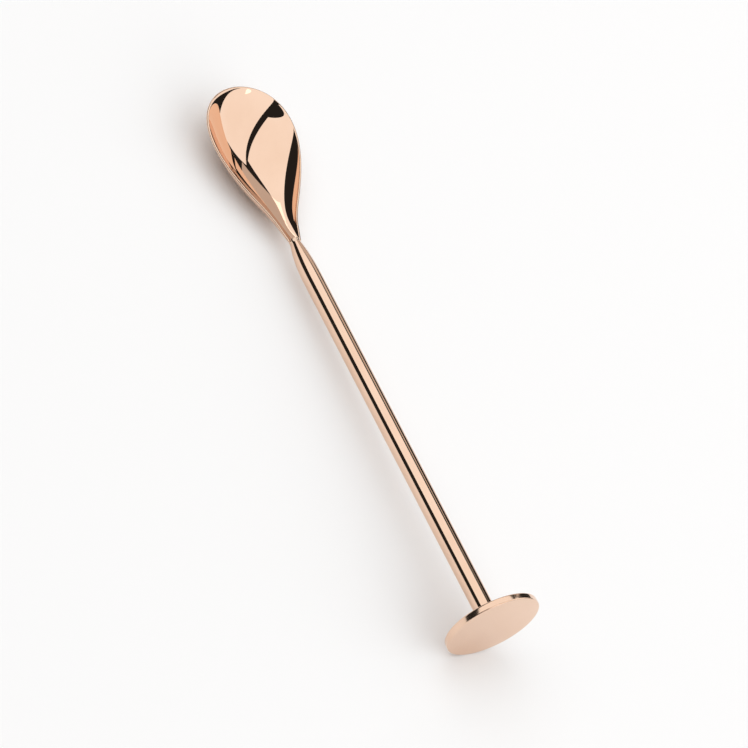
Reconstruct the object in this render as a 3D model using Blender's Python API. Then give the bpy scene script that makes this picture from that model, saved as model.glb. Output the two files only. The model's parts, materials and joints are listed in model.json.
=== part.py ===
"""Bar spoon: teardrop bowl, round tube handle and a flat muddler disc.

The spoon lies at rest on the plane z = 0 with its bowl open upwards. It touches that
plane with the lower edge of the disc and with the back of the bowl. +X runs from the
bowl to the disc, +Z is up, and the spoon is symmetric about the plane y = 0.

Every piece is first made in the handle's own frame. There the handle's axis is the X
axis, the muddler face is at x = 0, and the bowl is towards -X and opens towards +Z.
The empty "assembly" then lays the whole spoon down.
"""
import math

import bmesh
import bpy
from mathutils import Matrix, Vector

MM = 0.001

# Handle tube.
TUBE_RADIUS = 3.2 * MM
TUBE_WALL = 0.8 * MM
NECK_STATION = 145.7 * MM        # muddler face to the end of the bowl's neck
SWAGE_LENGTH = 16.0 * MM         # stretch over which the tube is drawn down to its tip
SWAGE_POWER = 2.6
TIP_RADIUS = 1.5 * MM
TIP_WALL = 0.55 * MM
TIP_RISE = 0.5 * MM              # the drawn tip ends a little above the handle's axis

# Bowl, stamped from sheet together with its tang.
SHEET = 0.8 * MM
BOWL_LENGTH = 55.3 * MM          # neck end to tip, along the rim plane
BOWL_HALF_WIDTH = 16.5 * MM
BOWL_DEPTH = 9.6 * MM
BOWL_PITCH = math.radians(10.0)  # the rim plane rises towards the tip
RIM_TAPER = 1.365                # how slowly the outline opens from the neck
RIM_NOSE = 0.30                  # how full the outline is towards the tip
RIM_CLOSE = 0.5                  # 0.5 closes the outline roundly at the tip
RIM_DIP = 1.0 * MM               # the rim sags this far below a straight line
RIM_DIP_PLACE = 0.8
BOTTOM_TAPER = 0.88              # the outline's three numbers for the bottom line
BOTTOM_NOSE = 2.8
BOTTOM_CLOSE = 0.95
SECTION_POWER = 0.70             # 0.5 is an elliptic cross section, 1 a parabolic one
SECTION_POWER_GAIN = 0.50
NECK_HALF_WIDTH = 2.2 * MM
NECK_DEPTH = 0.5 * MM
NECK_REACH = 0.12                # share of the length over which the neck fades out
NECK_RISE = 0.7 * MM             # height of the rim line above the handle's axis at the neck
TANG_RADIUS = 0.65 * MM
TANG_LENGTH = 11.0 * MM
TANG_ROOT = 1.5 * MM

# Muddler disc and what joins it to the tube.
DISC_RADIUS = 15.3 * MM
DISC_THICKNESS = 2.2 * MM
FACE_EDGE_RADIUS = 0.35 * MM
BACK_EDGE_RADIUS = 0.5 * MM
PLUG_LENGTH = 7.0 * MM
SPIGOT_RADIUS = 1.5 * MM
SPIGOT_LENGTH = 1.2 * MM
WELD_LEG = 1.0 * MM
BRAZE_LEG = 0.9 * MM

GAP = 0.3 * MM                   # clearance kept between pieces that meet

# Mesh fineness.
ROUND_SEGMENTS = 40
DISC_SEGMENTS = 72
SWAGE_STATIONS = 12
FLANK_STEPS = 34
NECK_STEPS = 4
BOWL_RINGS = 11
EDGE_STEPS = 4

SHARP_ANGLE = math.radians(35)
LEVEL_STEPS = 48

ROSE_GOLD = (0.86, 0.63, 0.49, 1.0)
PLUG_STEEL = (0.62, 0.61, 0.60, 1.0)
FILLER = (0.87, 0.66, 0.50, 1.0)


def clear_scene():
    """Remove every object that the file opened with."""
    for obj in list(bpy.data.objects):
        bpy.data.objects.remove(obj, do_unlink=True)


def make_material(name, colour, roughness):
    """A plain metal."""
    material = bpy.data.materials.new(name)
    material.use_nodes = True
    shader = material.node_tree.nodes["Principled BSDF"]
    shader.inputs["Base Color"].default_value = colour
    shader.inputs["Metallic"].default_value = 1.0
    shader.inputs["Roughness"].default_value = roughness
    return material


def add_object(name, bm, material, assembly):
    """Turn a bmesh into a named, smoothly shaded object of the assembly."""
    bmesh.ops.recalc_face_normals(bm, faces=bm.faces)
    mesh = bpy.data.meshes.new(name)
    bm.to_mesh(mesh)
    bm.free()
    mesh.shade_smooth()
    mesh.set_sharp_from_angle(angle=SHARP_ANGLE)
    mesh.materials.append(material)
    obj = bpy.data.objects.new(name, mesh)
    bpy.context.collection.objects.link(obj)
    obj.parent = assembly
    return obj


def arc(centre, radius, start, end, steps):
    """Points of an arc in the plane (x, r), from angle start to angle end in degrees."""
    points = []
    for step in range(steps + 1):
        angle = math.radians(start + (end - start) * step / steps)
        points.append((centre[0] + radius * math.cos(angle),
                       centre[1] + radius * math.sin(angle)))
    return points


def add_ring(bm, x, radius, rise, segments):
    """A ring of vertices round the handle's axis, or one vertex where the radius is 0."""
    if radius == 0.0:
        return [bm.verts.new((x, 0.0, rise))]
    ring = []
    for step in range(segments):
        angle = 2.0 * math.pi * step / segments
        ring.append(bm.verts.new((x, radius * math.cos(angle),
                                  rise + radius * math.sin(angle))))
    return ring


def bridge_rings(bm, first, second):
    """Faces between two rings of equal count, or between a ring and a pole."""
    count = max(len(first), len(second))
    for step in range(count):
        after = (step + 1) % count
        corners = [first[step % len(first)], first[after % len(first)],
                   second[after % len(second)], second[step % len(second)]]
        bm.faces.new(list(dict.fromkeys(corners)))


def turned(profile, segments, closed):
    """Turn a profile of (x, radius, rise) about the handle's axis."""
    bm = bmesh.new()
    rings = [add_ring(bm, x, radius, rise, segments) for x, radius, rise in profile]
    for first, second in zip(rings, rings[1:]):
        bridge_rings(bm, first, second)
    if closed:
        bridge_rings(bm, rings[-1], rings[0])
    return bm


def swage_share(from_tip):
    """0 at the drawn tip, 1 where the tube has its full diameter."""
    along = min(max(from_tip / SWAGE_LENGTH, 0.0), 1.0)
    return 1.0 - (1.0 - along) ** SWAGE_POWER


def tube_station(from_tip):
    """Outer radius, wall and rise of the tube at a distance from its drawn tip."""
    share = swage_share(from_tip)
    radius = TIP_RADIUS + (TUBE_RADIUS - TIP_RADIUS) * share
    wall = TIP_WALL + (TUBE_WALL - TIP_WALL) * share
    return radius, wall, TIP_RISE * (1.0 - share)


def make_handle_tube(material, assembly):
    """Thin tube, drawn down at the bowl's end and cut square at the disc's end."""
    tip_x = -NECK_STATION + GAP
    stations = []
    for step in range(SWAGE_STATIONS + 1):
        stations.append(SWAGE_LENGTH * (step / SWAGE_STATIONS) ** 1.5)
    stations.append(-(DISC_THICKNESS + GAP) - tip_x)
    outer = []
    inner = []
    for from_tip in stations:
        radius, wall, rise = tube_station(from_tip)
        outer.append((tip_x + from_tip, radius, rise))
        inner.append((tip_x + from_tip, radius - wall, rise))
    bm = turned(outer + inner[::-1], ROUND_SEGMENTS, closed=True)
    return add_object("handle_tube", bm, material, assembly)


def teardrop_peak(taper, nose, close):
    """Place between 0 and 1 where the teardrop curve is highest."""
    return (taper / (taper + close * nose)) ** (1.0 / nose)


def teardrop(place, taper, nose, close):
    """Curve that opens from 0 at place 0, peaks at 1 and closes at place 1.

    It closes roundly with close at 0.5, and as a straight slope with close at 1.
    """
    peak = teardrop_peak(taper, nose, close)
    height = place ** taper * max(0.0, 1.0 - place ** nose) ** close
    return height / (peak ** taper * (1.0 - peak ** nose) ** close)


def neck_fade(share):
    """1 at the neck's end, fading to 0 along the bowl."""
    return math.exp(-(share / NECK_REACH) ** 2)


def outline_half_width(share):
    """Half width of the bowl's rim at a share of its length from the neck."""
    return (BOWL_HALF_WIDTH * teardrop(share, RIM_TAPER, RIM_NOSE, RIM_CLOSE)
            + NECK_HALF_WIDTH * neck_fade(share))


def bottom_depth(share):
    """Depth of the bowl's centre line below the straight line from neck to tip."""
    return (BOWL_DEPTH * teardrop(share, BOTTOM_TAPER, BOTTOM_NOSE, BOTTOM_CLOSE)
            + NECK_DEPTH * neck_fade(share))


def rim_dip(share):
    """How far the rim sags below the straight line from neck to tip."""
    return RIM_DIP * math.sin(math.pi * share ** RIM_DIP_PLACE)


def section_power(share):
    """Fullness of the cross section, which is rounder-bottomed towards the tip."""
    return SECTION_POWER + SECTION_POWER_GAIN * share * share


def bowl_depth(along, across):
    """Depth of the sheet's middle at a place given in the rim plane."""
    share = min(max(along / BOWL_LENGTH, 0.0), 1.0)
    half_width = outline_half_width(share)
    side = min(abs(across) / half_width, 1.0) if half_width > 1e-7 else 1.0
    dip = rim_dip(share)
    return dip + (bottom_depth(share) - dip) * (1.0 - side * side) ** section_power(share)


def bowl_to_handle(along, across, height):
    """Place a point of the bowl's own frame in the handle's frame."""
    return Vector((-NECK_STATION - along * math.cos(BOWL_PITCH) + height * math.sin(BOWL_PITCH),
                   across,
                   NECK_RISE + along * math.sin(BOWL_PITCH) + height * math.cos(BOWL_PITCH)))


def bowl_outline():
    """The rim from the neck round the tip and back, then across the neck's end."""
    flank = []
    for step in range(FLANK_STEPS + 1):
        share = 0.5 - 0.5 * math.cos(math.pi * step / FLANK_STEPS)
        flank.append((share * BOWL_LENGTH, outline_half_width(share)))
    back = [(along, -across) for along, across in flank[-2::-1]]
    neck = flank[0][1]
    end = [(0.0, neck * (2.0 * step / NECK_STEPS - 1.0)) for step in range(1, NECK_STEPS)]
    return flank + back + end


def bowl_surface():
    """Middle of the stamped sheet, as rings of faces round the bowl's deepest point."""
    bm = bmesh.new()
    outline = bowl_outline()
    centre_along = teardrop_peak(BOTTOM_TAPER, BOTTOM_NOSE, BOTTOM_CLOSE) * BOWL_LENGTH
    rings = []
    for ring_number in range(BOWL_RINGS, -1, -1):
        reach = math.sin(0.5 * math.pi * ring_number / BOWL_RINGS)
        places = [(centre_along + reach * (along - centre_along), reach * across)
                  for along, across in outline]
        if ring_number == 0:
            places = places[:1]
        rings.append([bm.verts.new(bowl_to_handle(along, across, -bowl_depth(along, across)))
                      for along, across in places])
    for first, second in zip(rings, rings[1:]):
        bridge_rings(bm, first, second)
    return bm


def make_bowl(material, assembly):
    """Stamped bowl with the tang that goes into the handle tube."""
    bowl = add_object("bowl", bowl_surface(), material, assembly)
    sheet = bowl.modifiers.new("sheet", "SOLIDIFY")
    sheet.thickness = SHEET
    sheet.offset = 0.0
    sheet.use_even_offset = True

    tang_profile = [(-NECK_STATION + TANG_LENGTH, 0.0, TIP_RISE),
                    (-NECK_STATION + TANG_LENGTH, TANG_RADIUS, TIP_RISE),
                    (-NECK_STATION - TANG_ROOT, TANG_RADIUS, TIP_RISE),
                    (-NECK_STATION - TANG_ROOT, 0.0, TIP_RISE)]
    tang = add_object("tang_guide", turned(tang_profile, ROUND_SEGMENTS // 2, closed=False),
                      material, assembly)
    tang.hide_render = True
    tang.display_type = "WIRE"

    join = bowl.modifiers.new("tang", "BOOLEAN")
    join.operation = "UNION"
    join.solver = "EXACT"
    join.object = tang
    return bowl


def make_neck_braze(material, assembly):
    """Bead of filler round the tube's tip, against the end of the bowl's neck."""
    tip_x = -NECK_STATION + GAP
    profile = []
    for from_tip in (0.0, 0.5 * BRAZE_LEG, BRAZE_LEG):
        radius, _, rise = tube_station(from_tip)
        profile.append((tip_x + from_tip, radius + GAP, rise))
    far_radius = profile[-1][1]
    profile.append((tip_x + 0.85 * BRAZE_LEG, far_radius + 0.2 * BRAZE_LEG, TIP_RISE))
    profile.append((tip_x + 0.3 * BRAZE_LEG, far_radius + 0.35 * BRAZE_LEG, TIP_RISE))
    profile.append((tip_x, far_radius + 0.35 * BRAZE_LEG, TIP_RISE))
    return add_object("neck_braze", turned(profile, ROUND_SEGMENTS, closed=True),
                      material, assembly)


def make_muddler_disc(material, assembly):
    """Turned disc with a flat face and a recess for the plug's spigot in its back."""
    recess_radius = SPIGOT_RADIUS + GAP
    recess_x = -DISC_THICKNESS + SPIGOT_LENGTH
    outline = [(0.0, 0.0)]
    outline += arc((-FACE_EDGE_RADIUS, DISC_RADIUS - FACE_EDGE_RADIUS),
                   FACE_EDGE_RADIUS, 0.0, 90.0, EDGE_STEPS)
    outline += arc((-DISC_THICKNESS + BACK_EDGE_RADIUS, DISC_RADIUS - BACK_EDGE_RADIUS),
                   BACK_EDGE_RADIUS, 90.0, 180.0, EDGE_STEPS)
    outline += [(-DISC_THICKNESS, recess_radius), (recess_x, recess_radius), (recess_x, 0.0)]
    profile = [(x, radius, 0.0) for x, radius in outline]
    return add_object("muddler_disc", turned(profile, DISC_SEGMENTS, closed=False),
                      material, assembly)


def make_tube_plug(material, assembly):
    """Plug that closes the tube's lower end and centres the disc with its spigot."""
    shoulder_x = -(DISC_THICKNESS + GAP)
    spigot_x = shoulder_x + SPIGOT_LENGTH
    body_radius = TUBE_RADIUS - TUBE_WALL - GAP
    far_x = shoulder_x - PLUG_LENGTH
    chamfer = 0.5 * MM
    profile = [(spigot_x, 0.0, 0.0),
               (spigot_x, SPIGOT_RADIUS, 0.0),
               (shoulder_x, SPIGOT_RADIUS, 0.0),
               (shoulder_x, body_radius, 0.0),
               (far_x + chamfer, body_radius, 0.0),
               (far_x, body_radius - chamfer, 0.0),
               (far_x, 0.0, 0.0)]
    return add_object("tube_plug", turned(profile, ROUND_SEGMENTS, closed=False),
                      material, assembly)


def make_disc_weld(material, assembly):
    """Concave fillet of filler between the tube and the back of the disc."""
    foot_x = -(DISC_THICKNESS + GAP)
    foot_radius = TUBE_RADIUS + GAP
    hollow = arc((foot_x - WELD_LEG, foot_radius + WELD_LEG), 0.8 * WELD_LEG,
                 0.0, -90.0, EDGE_STEPS)
    outline = [(foot_x - WELD_LEG, foot_radius), (foot_x, foot_radius),
               (foot_x, foot_radius + WELD_LEG)] + hollow
    profile = [(x, radius, 0.0) for x, radius in outline]
    return add_object("disc_weld", turned(profile, ROUND_SEGMENTS, closed=True),
                      material, assembly)


def evaluated_points(objects):
    """World positions of the vertices of the finished meshes."""
    bpy.context.view_layer.update()
    graph = bpy.context.evaluated_depsgraph_get()
    points = []
    for obj in objects:
        finished = obj.evaluated_get(graph)
        mesh = finished.to_mesh()
        points += [finished.matrix_world @ vertex.co for vertex in mesh.vertices]
        finished.to_mesh_clear()
    return points


def lay_down(assembly, pieces):
    """Turn the spoon until bowl and disc touch one plane, and set that plane at z = 0."""
    bowl_points = evaluated_points([pieces["bowl"]])
    disc_points = evaluated_points([pieces["muddler_disc"]])

    def lowest(points, slope):
        return min(point.z * math.cos(slope) - point.x * math.sin(slope) for point in points)

    low, high = math.radians(-15.0), 0.0
    for _ in range(LEVEL_STEPS):
        slope = 0.5 * (low + high)
        if lowest(bowl_points, slope) < lowest(disc_points, slope):
            low = slope
        else:
            high = slope
    assembly.matrix_world = Matrix.Rotation(slope, 4, "Y")
    points = evaluated_points(pieces.values())
    middle = 0.5 * (min(point.x for point in points) + max(point.x for point in points))
    floor = min(point.z for point in points)
    assembly.location = (-middle, 0.0, -floor)
    bpy.context.view_layer.update()


def main():
    clear_scene()
    assembly = bpy.data.objects.new("assembly", None)
    bpy.context.collection.objects.link(assembly)

    plated = make_material("rose_gold_plate", ROSE_GOLD, 0.06)
    steel = make_material("plug_steel", PLUG_STEEL, 0.35)
    filler = make_material("braze_filler", FILLER, 0.15)

    pieces = {
        "bowl": make_bowl(plated, assembly),
        "handle_tube": make_handle_tube(plated, assembly),
        "neck_braze": make_neck_braze(filler, assembly),
        "tube_plug": make_tube_plug(steel, assembly),
        "disc_weld": make_disc_weld(filler, assembly),
        "muddler_disc": make_muddler_disc(plated, assembly),
    }
    lay_down(assembly, pieces)


main()
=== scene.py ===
"""Looks of the bar spoon: fine meshes, plated-metal materials, studio and camera.

Every piece is made in the handle's own frame, as in the CAD: the handle's axis is the X
axis, the muddler face is at x = 0, and the bowl is towards -X and opens towards +Z. The
record's mount "muddler_face" then says where that frame lies.
"""

import json
import math

import bmesh
import bpy
from mathutils import Matrix, Vector


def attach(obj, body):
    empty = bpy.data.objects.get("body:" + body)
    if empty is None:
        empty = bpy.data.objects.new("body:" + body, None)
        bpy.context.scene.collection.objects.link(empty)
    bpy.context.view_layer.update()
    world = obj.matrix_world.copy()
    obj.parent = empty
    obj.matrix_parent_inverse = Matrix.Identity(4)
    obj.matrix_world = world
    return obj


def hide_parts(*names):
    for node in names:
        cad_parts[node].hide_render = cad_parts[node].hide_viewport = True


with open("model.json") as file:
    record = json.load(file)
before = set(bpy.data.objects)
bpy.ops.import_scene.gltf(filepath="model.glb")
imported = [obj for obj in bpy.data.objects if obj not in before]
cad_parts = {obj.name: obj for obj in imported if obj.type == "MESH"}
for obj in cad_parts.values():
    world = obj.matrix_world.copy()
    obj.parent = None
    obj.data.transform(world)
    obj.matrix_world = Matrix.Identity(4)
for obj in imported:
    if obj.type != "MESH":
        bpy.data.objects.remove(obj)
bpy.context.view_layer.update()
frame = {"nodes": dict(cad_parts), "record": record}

MM = 0.001

# The spoon's own dimensions, the same as the CAD's. Only the weld fillet's leg is longer here,
# so that it closes the gap that the CAD leaves, and the BEAD and WELD_SUNK values are new.
TUBE_RADIUS = 3.2 * MM
TUBE_WALL = 0.8 * MM
NECK_STATION = 145.7 * MM
SWAGE_LENGTH = 16.0 * MM
SWAGE_POWER = 2.6
TIP_RADIUS = 1.5 * MM
TIP_WALL = 0.55 * MM
TIP_RISE = 0.5 * MM
SHEET = 0.8 * MM
BOWL_LENGTH = 55.3 * MM
BOWL_HALF_WIDTH = 16.5 * MM
BOWL_DEPTH = 9.6 * MM
BOWL_PITCH = math.radians(10.0)
RIM_TAPER = 1.365
RIM_NOSE = 0.30
RIM_CLOSE = 0.5
RIM_DIP = 1.0 * MM
RIM_DIP_PLACE = 0.8
BOTTOM_TAPER = 0.88
BOTTOM_NOSE = 2.8
BOTTOM_CLOSE = 0.95
SECTION_POWER = 0.70
SECTION_POWER_GAIN = 0.50
NECK_HALF_WIDTH = 2.2 * MM
NECK_DEPTH = 0.5 * MM
NECK_REACH = 0.12
NECK_RISE = 0.7 * MM
DISC_RADIUS = 15.3 * MM
DISC_THICKNESS = 2.2 * MM
FACE_EDGE_RADIUS = 0.35 * MM
BACK_EDGE_RADIUS = 0.5 * MM
BRAZE_LEG = 0.9 * MM
WELD_LEG = 1.3 * MM
WELD_SUNK = 0.1 * MM
BEAD_SUNK = 0.1 * MM
BEAD_CROWN = 0.42 * MM
BEAD_OVERHANG = 0.15 * MM
BEAD_RUN_OUT = 0.5 * MM

# Mesh fineness.
ROUND_SEGMENTS = 160
DISC_SEGMENTS = 320
FLANK_STEPS = 120
NECK_STEPS = 12
BOWL_RINGS = 72
LIP_STEPS = 10
EDGE_STEPS = 12
SWAGE_STATIONS = 60
SWAGE_CROWDING = 1.5
STRAIGHT_STATIONS = 24
LIP_SHARP_ANGLE = 60.0
FLOOR_SEGMENTS = 128
BEAD_STEPS = 16


def handle_matrix():
    """Where the handle's frame lies: at the muddler face, +X out of it, +Y unturned."""
    mount = next(m for m in frame["record"]["mounts"] if m["name"] == "muddler_face")
    along = Vector(mount["axis"]).normalized()
    across = Vector((0.0, 1.0, 0.0))
    upright = along.cross(across)
    turn = Matrix((along, across, upright)).transposed().to_4x4()
    return Matrix.Translation(Vector(mount["pos_m"])) @ turn


HANDLE = handle_matrix()


# ---------------------------------------------------------------- meshes

def add_piece(name, bm, material, nodes, sharp_angle=40.0):
    """Make a finished piece that rides on the spoon and stands for CAD nodes."""
    bmesh.ops.recalc_face_normals(bm, faces=bm.faces)
    mesh = bpy.data.meshes.new(name)
    bm.transform(HANDLE)
    bm.to_mesh(mesh)
    bm.free()
    mesh.shade_smooth()
    mesh.set_sharp_from_angle(angle=math.radians(sharp_angle))
    mesh.materials.append(material)
    piece = bpy.data.objects.new(name, mesh)
    bpy.context.scene.collection.objects.link(piece)
    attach(piece, "root")
    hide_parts(*nodes)
    return piece


def arc(centre, radius, start, end, steps):
    """Points of an arc in the plane (x, r), from angle start to angle end in degrees."""
    points = []
    for step in range(steps + 1):
        angle = math.radians(start + (end - start) * step / steps)
        points.append((centre[0] + radius * math.cos(angle),
                       centre[1] + radius * math.sin(angle)))
    return points


def add_ring(bm, x, radius, rise, segments):
    """A ring of vertices round the handle's axis, or one vertex where the radius is 0."""
    if radius == 0.0:
        return [bm.verts.new((x, 0.0, rise))]
    ring = []
    for step in range(segments):
        angle = 2.0 * math.pi * step / segments
        ring.append(bm.verts.new((x, radius * math.cos(angle),
                                  rise + radius * math.sin(angle))))
    return ring


def bridge_rings(bm, first, second):
    """Faces between two rings of equal count, or between a ring and a pole."""
    count = max(len(first), len(second))
    for step in range(count):
        after = (step + 1) % count
        corners = [first[step % len(first)], first[after % len(first)],
                   second[after % len(second)], second[step % len(second)]]
        bm.faces.new(list(dict.fromkeys(corners)))


def turned(profile, segments, closed):
    """Turn a profile of (x, radius, rise) about the handle's axis."""
    bm = bmesh.new()
    rings = [add_ring(bm, x, radius, rise, segments) for x, radius, rise in profile]
    for first, second in zip(rings, rings[1:]):
        bridge_rings(bm, first, second)
    if closed:
        bridge_rings(bm, rings[-1], rings[0])
    return bm


def teardrop_peak(taper, nose, close):
    """Place between 0 and 1 where the teardrop curve is highest."""
    return (taper / (taper + close * nose)) ** (1.0 / nose)


def teardrop(place, taper, nose, close):
    """Curve that opens from 0 at place 0, peaks at 1 and closes at place 1.

    It closes roundly with close at 0.5, and as a straight slope with close at 1.
    """
    peak = teardrop_peak(taper, nose, close)
    height = place ** taper * max(0.0, 1.0 - place ** nose) ** close
    return height / (peak ** taper * (1.0 - peak ** nose) ** close)


def neck_fade(share):
    """1 at the neck's end, fading to 0 along the bowl."""
    return math.exp(-(share / NECK_REACH) ** 2)


def outline_half_width(share):
    """Half width of the bowl's rim at a share of its length from the neck."""
    return (BOWL_HALF_WIDTH * teardrop(share, RIM_TAPER, RIM_NOSE, RIM_CLOSE)
            + NECK_HALF_WIDTH * neck_fade(share))


def bottom_depth(share):
    """Depth of the bowl's centre line below the straight line from neck to tip."""
    return (BOWL_DEPTH * teardrop(share, BOTTOM_TAPER, BOTTOM_NOSE, BOTTOM_CLOSE)
            + NECK_DEPTH * neck_fade(share))


def rim_dip(share):
    """How far the rim sags below the straight line from neck to tip."""
    return RIM_DIP * math.sin(math.pi * share ** RIM_DIP_PLACE)


def section_power(share):
    """Fullness of the cross section, which is rounder-bottomed towards the tip."""
    return SECTION_POWER + SECTION_POWER_GAIN * share * share


def bowl_point(along, across):
    """Middle of the sheet, in the bowl's frame: along the rim plane, across it, above it."""
    share = min(max(along / BOWL_LENGTH, 0.0), 1.0)
    half_width = outline_half_width(share)
    side = min(abs(across) / half_width, 1.0) if half_width > 1e-7 else 1.0
    dip = rim_dip(share)
    depth = dip + (bottom_depth(share) - dip) * (1.0 - side * side) ** section_power(share)
    return Vector((along, across, -depth))


def bowl_to_handle(point):
    """Place a point of the bowl's frame in the handle's frame."""
    along, across, height = point
    return Vector((-NECK_STATION - along * math.cos(BOWL_PITCH) + height * math.sin(BOWL_PITCH),
                   across,
                   NECK_RISE + along * math.sin(BOWL_PITCH) + height * math.cos(BOWL_PITCH)))


def bowl_outline():
    """The rim from the neck round the tip and back, then across the neck's end."""
    flank = []
    for step in range(FLANK_STEPS + 1):
        share = 0.5 - 0.5 * math.cos(math.pi * step / FLANK_STEPS)
        flank.append((share * BOWL_LENGTH, outline_half_width(share)))
    back = [(along, -across) for along, across in flank[-2::-1]]
    neck = flank[0][1]
    end = [(0.0, neck * (2.0 * step / NECK_STEPS - 1.0)) for step in range(1, NECK_STEPS)]
    return flank + back + end


def bowl_grid():
    """Rings of points on the middle of the sheet, from the deepest point to the rim."""
    outline = bowl_outline()
    centre_along = teardrop_peak(BOTTOM_TAPER, BOTTOM_NOSE, BOTTOM_CLOSE) * BOWL_LENGTH
    rings = []
    for number in range(1, BOWL_RINGS + 1):
        reach = math.sin(0.5 * math.pi * number / BOWL_RINGS)
        rings.append([bowl_point(centre_along + reach * (along - centre_along), reach * across)
                      for along, across in outline])
    return bowl_point(centre_along, 0.0), rings


def grid_normals(rings):
    """Upward normals of the rings of points, from their neighbours."""
    normals = []
    for number, ring in enumerate(rings):
        inward = rings[max(number - 1, 0)]
        outward = rings[min(number + 1, len(rings) - 1)]
        count = len(ring)
        row = []
        for step in range(count):
            radial = outward[step] - inward[step]
            round_ = ring[(step + 1) % count] - ring[step - 1]
            normal = radial.cross(round_).normalized()
            row.append(-normal if normal.z < 0.0 else normal)
        normals.append(row)
    return normals


def make_bowl(material):
    """The stamped bowl: polished inside and out, with a lip rounded over its whole edge."""
    centre, rings = bowl_grid()
    normals = grid_normals(rings)
    half = 0.5 * SHEET
    bm = bmesh.new()

    def layer(ring, row, offset):
        return [bm.verts.new(bowl_to_handle(point + offset * normal))
                for point, normal in zip(ring, row)]

    inner_pole = [bm.verts.new(bowl_to_handle(centre + Vector((0.0, 0.0, half))))]
    outer_pole = [bm.verts.new(bowl_to_handle(centre - Vector((0.0, 0.0, half))))]
    inner = [layer(ring, row, half) for ring, row in zip(rings, normals)]
    outer = [layer(ring, row, -half) for ring, row in zip(rings, normals)]

    rim, rim_normals, inboard = rings[-1], normals[-1], rings[-2]
    lip = []
    for step in range(1, LIP_STEPS):
        angle = math.pi * step / LIP_STEPS
        row = []
        for point, normal, before in zip(rim, rim_normals, inboard):
            outward = point - before
            outward = (outward - normal * outward.dot(normal)).normalized()
            row.append(bm.verts.new(bowl_to_handle(
                point + half * (math.cos(angle) * normal + math.sin(angle) * outward))))
        lip.append(row)

    path = [inner_pole] + inner + lip + outer[::-1] + [outer_pole]
    for first, second in zip(path, path[1:]):
        bridge_rings(bm, first, second)
    return add_piece("bowl_polished", bm, material, ["bowl"],
                     LIP_SHARP_ANGLE)


def swage_share(from_tip):
    """0 at the drawn tip, 1 where the tube has its full diameter."""
    along = min(max(from_tip / SWAGE_LENGTH, 0.0), 1.0)
    return 1.0 - (1.0 - along) ** SWAGE_POWER


def tube_station(from_tip):
    """Outer radius, wall and rise of the tube at a distance from its drawn tip."""
    share = swage_share(from_tip)
    radius = TIP_RADIUS + (TUBE_RADIUS - TIP_RADIUS) * share
    wall = TIP_WALL + (TUBE_WALL - TIP_WALL) * share
    return radius, wall, TIP_RISE * (1.0 - share)


def make_handle(material):
    """The drawn tube, with its bore open at both ends."""
    tip_x = -NECK_STATION
    end_x = -DISC_THICKNESS
    stations = [SWAGE_LENGTH * (step / SWAGE_STATIONS) ** SWAGE_CROWDING
                for step in range(SWAGE_STATIONS + 1)]
    straight = end_x - tip_x - SWAGE_LENGTH
    stations += [SWAGE_LENGTH + straight * step / STRAIGHT_STATIONS
                 for step in range(1, STRAIGHT_STATIONS + 1)]
    outer = []
    inner = []
    for from_tip in stations:
        radius, wall, rise = tube_station(from_tip)
        outer.append((tip_x + from_tip, radius, rise))
        inner.append((tip_x + from_tip, radius - wall, rise))
    bm = turned(outer + inner[::-1], ROUND_SEGMENTS, closed=True)
    return add_piece("handle_polished", bm, material, ["handle_tube"])


def make_disc(material):
    """The turned muddler disc with rolled edges."""
    outline = [(0.0, 0.0)]
    outline += [(0.0, DISC_RADIUS * share) for share in (0.25, 0.5, 0.75, 0.9)]
    outline += arc((-FACE_EDGE_RADIUS, DISC_RADIUS - FACE_EDGE_RADIUS),
                   FACE_EDGE_RADIUS, 0.0, 90.0, EDGE_STEPS)
    outline += arc((-DISC_THICKNESS + BACK_EDGE_RADIUS, DISC_RADIUS - BACK_EDGE_RADIUS),
                   BACK_EDGE_RADIUS, 90.0, 180.0, EDGE_STEPS)
    outline += [(-DISC_THICKNESS, DISC_RADIUS * share) for share in (0.8, 0.6, 0.4, 0.25)]
    outline += [(-DISC_THICKNESS, 0.0)]
    profile = [(x, radius, 0.0) for x, radius in outline]
    return add_piece("disc_polished", turned(profile, DISC_SEGMENTS, closed=False), material,
                     ["muddler_disc"])


def make_neck_bead(material):
    """The bead of braze that runs into the tube's tip and stands against the bowl's neck."""
    tip_x = -NECK_STATION
    length = BRAZE_LEG + BEAD_RUN_OUT
    profile = []
    for step in range(BEAD_STEPS + 1):
        share = step / BEAD_STEPS
        from_tip = length * share
        radius, _, rise = tube_station(from_tip)
        swell = 0.35 + 0.65 * math.sin(math.pi * (share + 0.25))
        crown = BEAD_CROWN * (1.0 - share) ** 1.6 * swell
        profile.append((tip_x - BEAD_OVERHANG + from_tip, radius + max(crown, -BEAD_SUNK), rise))
    end_radius, _, end_rise = tube_station(length)
    profile.append((tip_x + length, end_radius - BEAD_SUNK, end_rise))
    profile.append((tip_x - BEAD_OVERHANG, TIP_RADIUS - BEAD_SUNK, TIP_RISE))
    return add_piece("neck_bead", turned(profile, ROUND_SEGMENTS, closed=True), material,
                     ["neck_braze"])


def make_weld_fillet(material):
    """The hollow fillet of filler between the tube and the back of the disc."""
    foot_x = -DISC_THICKNESS
    hollow = arc((foot_x - WELD_LEG, TUBE_RADIUS + WELD_LEG), WELD_LEG, 0.0, -90.0, BEAD_STEPS)
    sunk_radius = TUBE_RADIUS - WELD_SUNK
    outline = hollow + [(foot_x - WELD_LEG, sunk_radius), (foot_x, sunk_radius)]
    profile = [(x, radius, 0.0) for x, radius in outline]
    return add_piece("weld_fillet", turned(profile, ROUND_SEGMENTS, closed=True), material,
                     ["disc_weld"])


# ---------------------------------------------------------------- materials

def new_node(tree, kind, **settings):
    """A node of the tree with its properties set."""
    made = tree.nodes.new(kind)
    for key, value in settings.items():
        setattr(made, key, value)
    return made


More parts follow.
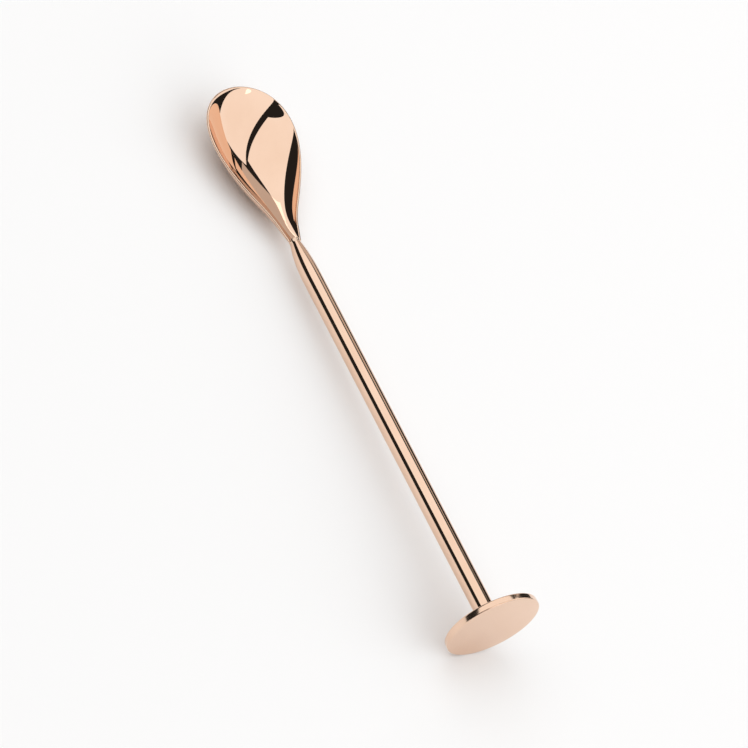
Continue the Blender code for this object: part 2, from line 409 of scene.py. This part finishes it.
def handle_coordinates(tree):
    """Surface position in the handle's own frame, in metres."""
    place = new_node(tree, "ShaderNodeTexCoord")
    shift = new_node(tree, "ShaderNodeMapping", vector_type="POINT")
    inverse = HANDLE.inverted()
    shift.inputs["Location"].default_value = inverse.translation
    shift.inputs["Rotation"].default_value = inverse.to_euler()
    tree.links.new(place.outputs["Object"], shift.inputs["Vector"])
    return shift.outputs["Vector"]


def noise(tree, vector, scale, detail, stretch=(1.0, 1.0, 1.0)):
    """Noise between 0 and 1, drawn out along the axes with a small stretch factor."""
    squeeze = new_node(tree, "ShaderNodeMapping", vector_type="POINT")
    squeeze.inputs["Scale"].default_value = stretch
    tree.links.new(vector, squeeze.inputs["Vector"])
    made = new_node(tree, "ShaderNodeTexNoise")
    made.inputs["Scale"].default_value = scale
    made.inputs["Detail"].default_value = detail
    tree.links.new(squeeze.outputs["Vector"], made.inputs["Vector"])
    return made.outputs["Fac"]


def turning_marks(tree, vector, spacing):
    """Fine rings round the handle's axis, as a lathe tool leaves them, 2 pi spacings apart."""
    rings = new_node(tree, "ShaderNodeTexWave", wave_type="RINGS", rings_direction="X")
    rings.inputs["Scale"].default_value = 1.0 / (20.0 * spacing)
    rings.inputs["Distortion"].default_value = 0.6
    rings.inputs["Detail"].default_value = 2.0
    tree.links.new(vector, rings.inputs["Vector"])
    return rings.outputs["Fac"]


def ramp(tree, factor, low, high, dark, light):
    """Colour that runs from dark to light as the factor goes from low to high."""
    made = new_node(tree, "ShaderNodeValToRGB")
    made.color_ramp.elements[0].position = low
    made.color_ramp.elements[0].color = (*dark, 1.0)
    made.color_ramp.elements[1].position = high
    made.color_ramp.elements[1].color = (*light, 1.0)
    tree.links.new(factor, made.inputs["Fac"])
    return made.outputs["Color"]


def spread(tree, factor, low, high):
    """A factor from 0.3 to 0.7 laid over the range low to high."""
    made = new_node(tree, "ShaderNodeMapRange")
    made.inputs["From Min"].default_value = 0.3
    made.inputs["From Max"].default_value = 0.7
    made.inputs["To Min"].default_value = low
    made.inputs["To Max"].default_value = high
    tree.links.new(factor, made.inputs["Value"])
    return made.outputs["Result"]


def add_bump(tree, shader, height, strength, distance):
    """Relief of the surface from a height between 0 and 1."""
    bump = new_node(tree, "ShaderNodeBump")
    bump.inputs["Strength"].default_value = strength
    bump.inputs["Distance"].default_value = distance
    tree.links.new(height, bump.inputs["Height"])
    tree.links.new(bump.outputs["Normal"], shader.inputs["Normal"])


def metal(name, dark, light, smooth, rough, stretch, relief, marks_spacing=None):
    """A metal with clouded colour, uneven polish, and fine scratches or turning marks."""
    material = bpy.data.materials.new(name)
    material.use_nodes = True
    tree = material.node_tree
    shader = tree.nodes["Principled BSDF"]
    shader.inputs["Metallic"].default_value = 1.0
    vector = handle_coordinates(tree)
    clouds = noise(tree, vector, CLOUD_SCALE, 3.0)
    tree.links.new(ramp(tree, clouds, 0.35, 0.65, dark, light), shader.inputs["Base Color"])
    smudges = noise(tree, vector, SMUDGE_SCALE, 5.0)
    tree.links.new(spread(tree, smudges, smooth, rough), shader.inputs["Roughness"])
    if marks_spacing:
        height = turning_marks(tree, vector, marks_spacing)
    else:
        height = noise(tree, vector, SCRATCH_SCALE, 2.0, stretch)
    add_bump(tree, shader, height, relief, RELIEF_DEPTH)
    return material


CLOUD_SCALE = 55.0
SMUDGE_SCALE = 120.0
SCRATCH_SCALE = 1800.0
RELIEF_DEPTH = 0.01 * MM
PLATE_DARK = (0.825, 0.575, 0.425)
PLATE_LIGHT = (0.865, 0.620, 0.470)
FILLER_DARK = (0.80, 0.58, 0.43)
FILLER_LIGHT = (0.88, 0.68, 0.53)
STEEL_DARK = (0.54, 0.53, 0.52)
STEEL_LIGHT = (0.66, 0.65, 0.63)

LENGTHWISE = (0.04, 1.0, 1.0)
CROSSWISE = (1.0, 0.06, 1.0)
EVEN = (1.0, 1.0, 1.0)

bowl_plate = metal("rose_gold_bowl", PLATE_DARK, PLATE_LIGHT, 0.012, 0.035, CROSSWISE, 0.02)
tube_plate = metal("rose_gold_tube", PLATE_DARK, PLATE_LIGHT, 0.025, 0.060, LENGTHWISE, 0.05)
disc_plate = metal("rose_gold_disc", PLATE_DARK, PLATE_LIGHT, 0.120, 0.165, EVEN, 0.06, 0.12 * MM)
filler = metal("braze_filler", FILLER_DARK, FILLER_LIGHT, 0.08, 0.22, EVEN, 0.25)
plug_steel = metal("turned_steel", STEEL_DARK, STEEL_LIGHT, 0.25, 0.42, EVEN, 0.40, 0.18 * MM)

bowl = make_bowl(bowl_plate)
handle = make_handle(tube_plate)
disc = make_disc(disc_plate)
neck_bead = make_neck_bead(filler)
weld_fillet = make_weld_fillet(filler)

plug = frame["nodes"]["tube_plug"]
plug.material_slots[0].link = "OBJECT"
plug.material_slots[0].material = plug_steel

# ---------------------------------------------------------------- studio

# Plain rectangular softboxes round the spoon, seen alike by every piece. The polished metal
# mirrors them, the floor, and the dim room in the gaps between them.
LIGHT_AIM = Vector((-0.03, 0.0, 0.010))
LIGHT_DISTANCE = 2.0
FLOOR_RADIUS = 2.3
FLOOR_BRIGHT = 0.90
FILL_STRENGTH = 0.32
ROOM_GLOW = 0.02
BACKDROP_WHITE = 0.92
WHITE = (1.0, 1.0, 1.0)
WARM = (1.0, 0.90, 0.84)


def away_from_spoon(azimuth, elevation):
    """Direction at an azimuth from -Y towards +X and an elevation, both in degrees."""
    turn, rise = math.radians(azimuth), math.radians(elevation)
    return Vector((math.sin(turn) * math.cos(rise), -math.cos(turn) * math.cos(rise),
                   math.sin(rise)))


def add_softbox(name, azimuth, elevation, width, height, colour, brightness):
    """A rectangular softbox that faces the spoon, with its width level."""
    data = bpy.data.lights.new(name, "AREA")
    data.shape = "RECTANGLE"
    data.size = width
    data.size_y = height
    data.color = colour
    data.energy = brightness * math.pi * width * height
    softbox = bpy.data.objects.new(name, data)
    bpy.context.scene.collection.objects.link(softbox)
    away = away_from_spoon(azimuth, elevation)
    facing = away.to_track_quat("Z", "Y").to_matrix().to_4x4()
    softbox.matrix_world = Matrix.Translation(LIGHT_AIM + away * LIGHT_DISTANCE) @ facing
    softbox.visible_camera = False
    return softbox


add_softbox("softbox_far", 136.0, 42.0, 4.4, 2.6, WHITE, 1.1)
add_softbox("softbox_near", -50.0, 66.0, 3.2, 2.4, WHITE, 1.1)
add_softbox("softbox_side", -122.0, 26.0, 2.0, 1.3, WARM, 0.6)
add_softbox("softbox_end", 90.0, 15.0, 1.6, 0.8, WARM, 0.8)


def make_floor():
    """Round plain pale floor on which the spoon lies."""
    bm = bmesh.new()
    bmesh.ops.create_circle(bm, cap_ends=True, segments=FLOOR_SEGMENTS,
                              radius=FLOOR_RADIUS)
    mesh = bpy.data.meshes.new("floor")
    bm.to_mesh(mesh)
    bm.free()
    material = bpy.data.materials.new("pale_floor")
    material.use_nodes = True
    shader = material.node_tree.nodes["Principled BSDF"]
    shader.inputs["Roughness"].default_value = 1.0
    shader.inputs["Specular IOR Level"].default_value = 0.0
    shader.inputs["Base Color"].default_value = (FLOOR_BRIGHT, FLOOR_BRIGHT, FLOOR_BRIGHT, 1.0)
    mesh.materials.append(material)
    floor = bpy.data.objects.new("floor", mesh)
    bpy.context.scene.collection.objects.link(floor)
    return floor


make_floor()

# The white fill brightens the floor and its shadows. The metal mirrors a dim room instead,
# and behind the floor there is a plain pale backdrop.
world = bpy.data.worlds.new("studio")
bpy.context.scene.world = world
world.use_nodes = True
background = world.node_tree.nodes["Background"]
background.inputs["Color"].default_value = (1.0, 1.0, 1.0, 1.0)
rays = new_node(world.node_tree, "ShaderNodeLightPath")
room = new_node(world.node_tree, "ShaderNodeMapRange")
room.inputs["To Min"].default_value = FILL_STRENGTH
room.inputs["To Max"].default_value = ROOM_GLOW
world.node_tree.links.new(rays.outputs["Is Glossy Ray"], room.inputs["Value"])
backdrop = new_node(world.node_tree, "ShaderNodeMapRange")
backdrop.inputs["To Max"].default_value = BACKDROP_WHITE
world.node_tree.links.new(rays.outputs["Is Camera Ray"], backdrop.inputs["Value"])
world.node_tree.links.new(room.outputs["Result"], backdrop.inputs["To Min"])
world.node_tree.links.new(backdrop.outputs["Result"], background.inputs["Strength"])

bpy.context.scene.view_settings.view_transform = "Standard"
bpy.context.scene.view_settings.look = "None"

# ---------------------------------------------------------------- camera

VIEW_TARGET = Vector((0.0094, 0.0, 0.01432))
VIEW_AZIMUTH = math.radians(31.51)
VIEW_ELEVATION = math.radians(44.52)
VIEW_ROLL = math.radians(41.94)
VIEW_DISTANCE = 1.1107
VIEW_LENS = 173.26


def make_camera():
    """The camera over the spoon, rolled so that it lies across the picture."""
    back = Vector((math.sin(VIEW_AZIMUTH) * math.cos(VIEW_ELEVATION),
                   -math.cos(VIEW_AZIMUTH) * math.cos(VIEW_ELEVATION),
                   math.sin(VIEW_ELEVATION)))
    data = bpy.data.cameras.new("camera")
    data.sensor_width = 36.0
    data.lens = VIEW_LENS
    camera = bpy.data.objects.new("camera", data)
    bpy.context.scene.collection.objects.link(camera)
    upright = (-back).to_track_quat("-Z", "Y").to_matrix().to_4x4()
    turn = upright @ Matrix.Rotation(VIEW_ROLL, 4, "Z")
    camera.matrix_world = Matrix.Translation(VIEW_TARGET + back * VIEW_DISTANCE) @ turn
    bpy.context.scene.camera = camera
    return camera


make_camera()
